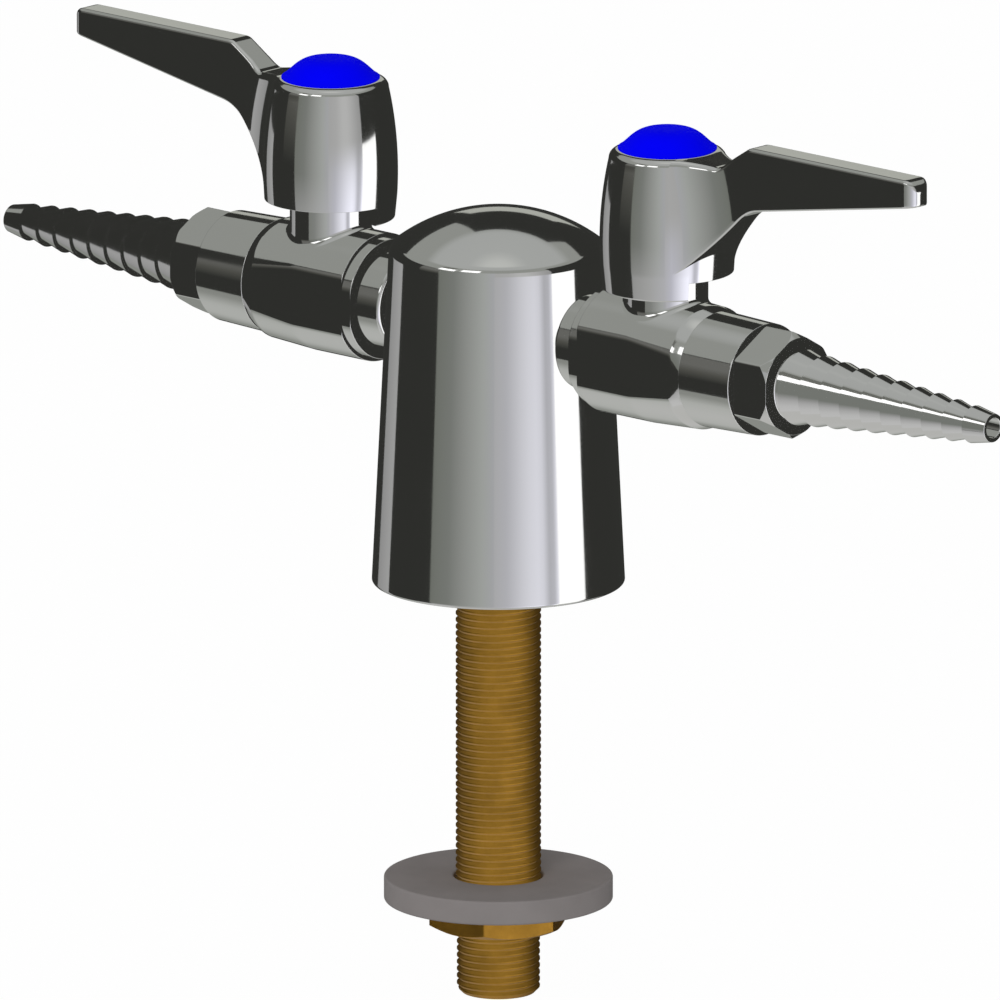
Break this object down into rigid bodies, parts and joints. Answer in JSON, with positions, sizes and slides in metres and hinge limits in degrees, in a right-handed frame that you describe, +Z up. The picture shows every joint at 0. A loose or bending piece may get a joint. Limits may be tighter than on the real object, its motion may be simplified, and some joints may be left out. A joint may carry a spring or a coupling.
{
  "type": "laboratory gas ball valve",
  "caption": "Deck-mounted laboratory gas turret with ball valves on both sides, lever handles, blue index buttons and serrated hose nozzles.",
  "frame": {"origin": "centre of the turret's base, on the deck's top face", "axes": "+Z up out of the deck, +X along the right-hand valve and its nozzle, -Y towards the user"},
  "size_m": [0.267, 0.0508, 0.1851],
  "materials": {
    "chrome_plate": "bright polished chrome plate",
    "handle_chrome": "bright polished chrome plate on a cast handle",
    "yellow_brass": "machined yellow brass, threaded",
    "washer_plastic": "warm grey moulded plastic, matt",
    "index_blue": "saturated blue moulded plastic, satin to glossy",
    "stainless_steel": "polished stainless steel",
    "seat_ptfe": "white fluoropolymer, waxy",
    "black_rubber": "black nitrile rubber",
    "gasket_fibre": "pressed fibre gasket"
  },
  "bodies": {
    "turret": {"turret": "chrome_plate", "shank": "yellow_brass", "right_valve_body": "chrome_plate", "right_end_cap": "chrome_plate", "right_hose_nozzle": "chrome_plate", "right_cap_seal": "gasket_fibre", "right_nozzle_gasket": "gasket_fibre", "right_inlet_seat": "seat_ptfe", "right_outlet_seat": "seat_ptfe", "left_valve_body": "chrome_plate", "left_end_cap": "chrome_plate", "left_hose_nozzle": "chrome_plate", "left_cap_seal": "gasket_fibre", "left_nozzle_gasket": "gasket_fibre", "left_inlet_seat": "seat_ptfe", "left_outlet_seat": "seat_ptfe"},
    "right_handle": {"right_handle": "handle_chrome", "right_handle_screw": "stainless_steel", "right_index_button": "index_blue", "right_stem": "stainless_steel", "right_stem_o_rings": "black_rubber", "right_thrust_washer": "seat_ptfe", "right_stop_washer": "stainless_steel", "right_ball": "stainless_steel"},
    "left_handle": {"left_handle": "handle_chrome", "left_handle_screw": "stainless_steel", "left_index_button": "index_blue", "left_stem": "stainless_steel", "left_stem_o_rings": "black_rubber", "left_thrust_washer": "seat_ptfe", "left_stop_washer": "stainless_steel", "left_ball": "stainless_steel"},
    "deck_washer": {"deck_washer": "washer_plastic"},
    "locknut": {"locknut": "yellow_brass"}
  },
  "joints": [
    {"name": "right_handle_turn", "type": "hinge", "parent": "turret", "child": "right_handle", "pos_m": [0.0458, 0, 0.0531], "axis": [0, 0, -1], "range_deg": [0, 90]},
    {"name": "left_handle_turn", "type": "hinge", "parent": "turret", "child": "left_handle", "pos_m": [-0.0458, 0, 0.0531], "axis": [0, 0, -1], "range_deg": [0, 90]},
    {"name": "deck_washer_travel", "type": "slide", "parent": "turret", "child": "deck_washer", "axis": [0, 0, 1], "range_m": [-0.0121, 0.0601]},
    {"name": "locknut_turn", "type": "hinge", "parent": "deck_washer", "child": "locknut", "pos_m": [0, 0, -0.068], "axis": [0, 0, 1], "range_deg": [-3060, 15300]}
  ],
  "couplings": [
    {"joint": "deck_washer_travel", "follows": "locknut_turn", "m_per_rad": 0.00022457}
  ]
}
